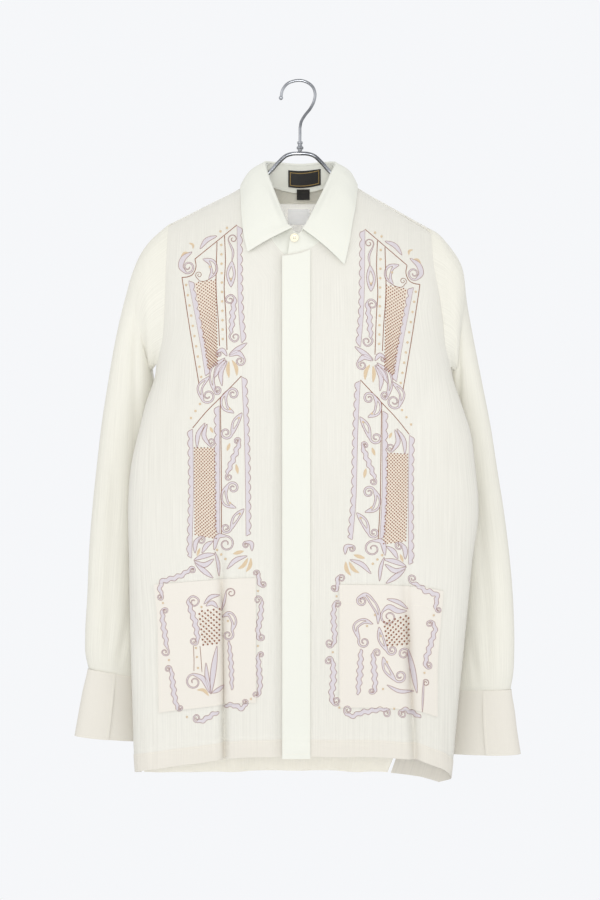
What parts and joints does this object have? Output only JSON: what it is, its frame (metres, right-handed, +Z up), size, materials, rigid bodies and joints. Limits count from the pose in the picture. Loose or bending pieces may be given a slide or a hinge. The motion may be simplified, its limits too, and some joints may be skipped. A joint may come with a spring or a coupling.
{
  "type": "barong tagalog shirt on a hanger",
  "caption": "Sheer ivory long-sleeved barong tagalog with fly front, patch pockets, shirt collar and embroidered front bands, hanging on a plain chrome wire hanger.",
  "frame": {"origin": "inside top of the hanger's hook, where it bears on its rail or peg", "axes": "+Z up; -Y to the front of the shirt; +X to the right of someone who looks at its front"},
  "size_m": [0.5421, 0.1513, 0.8571],
  "materials": {
    "sheer_cloth": "sheer plain weave, ivory",
    "double_cloth": "the same cloth in two layers",
    "chrome": "polished",
    "button": "cream, glossy",
    "black_label": "woven, black",
    "care_label": "printed satin, white"
  },
  "bodies": {
    "root": {"hanger_hook": "chrome", "hanger_ferrule": "chrome", "hanger_arms": "chrome", "front_right": "sheer_cloth", "front_left": "sheer_cloth", "back": "sheer_cloth", "sleeve_right": "sheer_cloth", "sleeve_left": "sheer_cloth", "yoke": "double_cloth", "placket": "double_cloth", "collar_band": "double_cloth", "collar": "double_cloth", "cuff_right": "double_cloth", "cuff_left": "double_cloth", "pocket_right": "double_cloth", "pocket_left": "double_cloth", "collar_button": "button", "neck_label": "black_label", "size_tag": "black_label", "care_label": "care_label"}
  },
  "joints": []
}
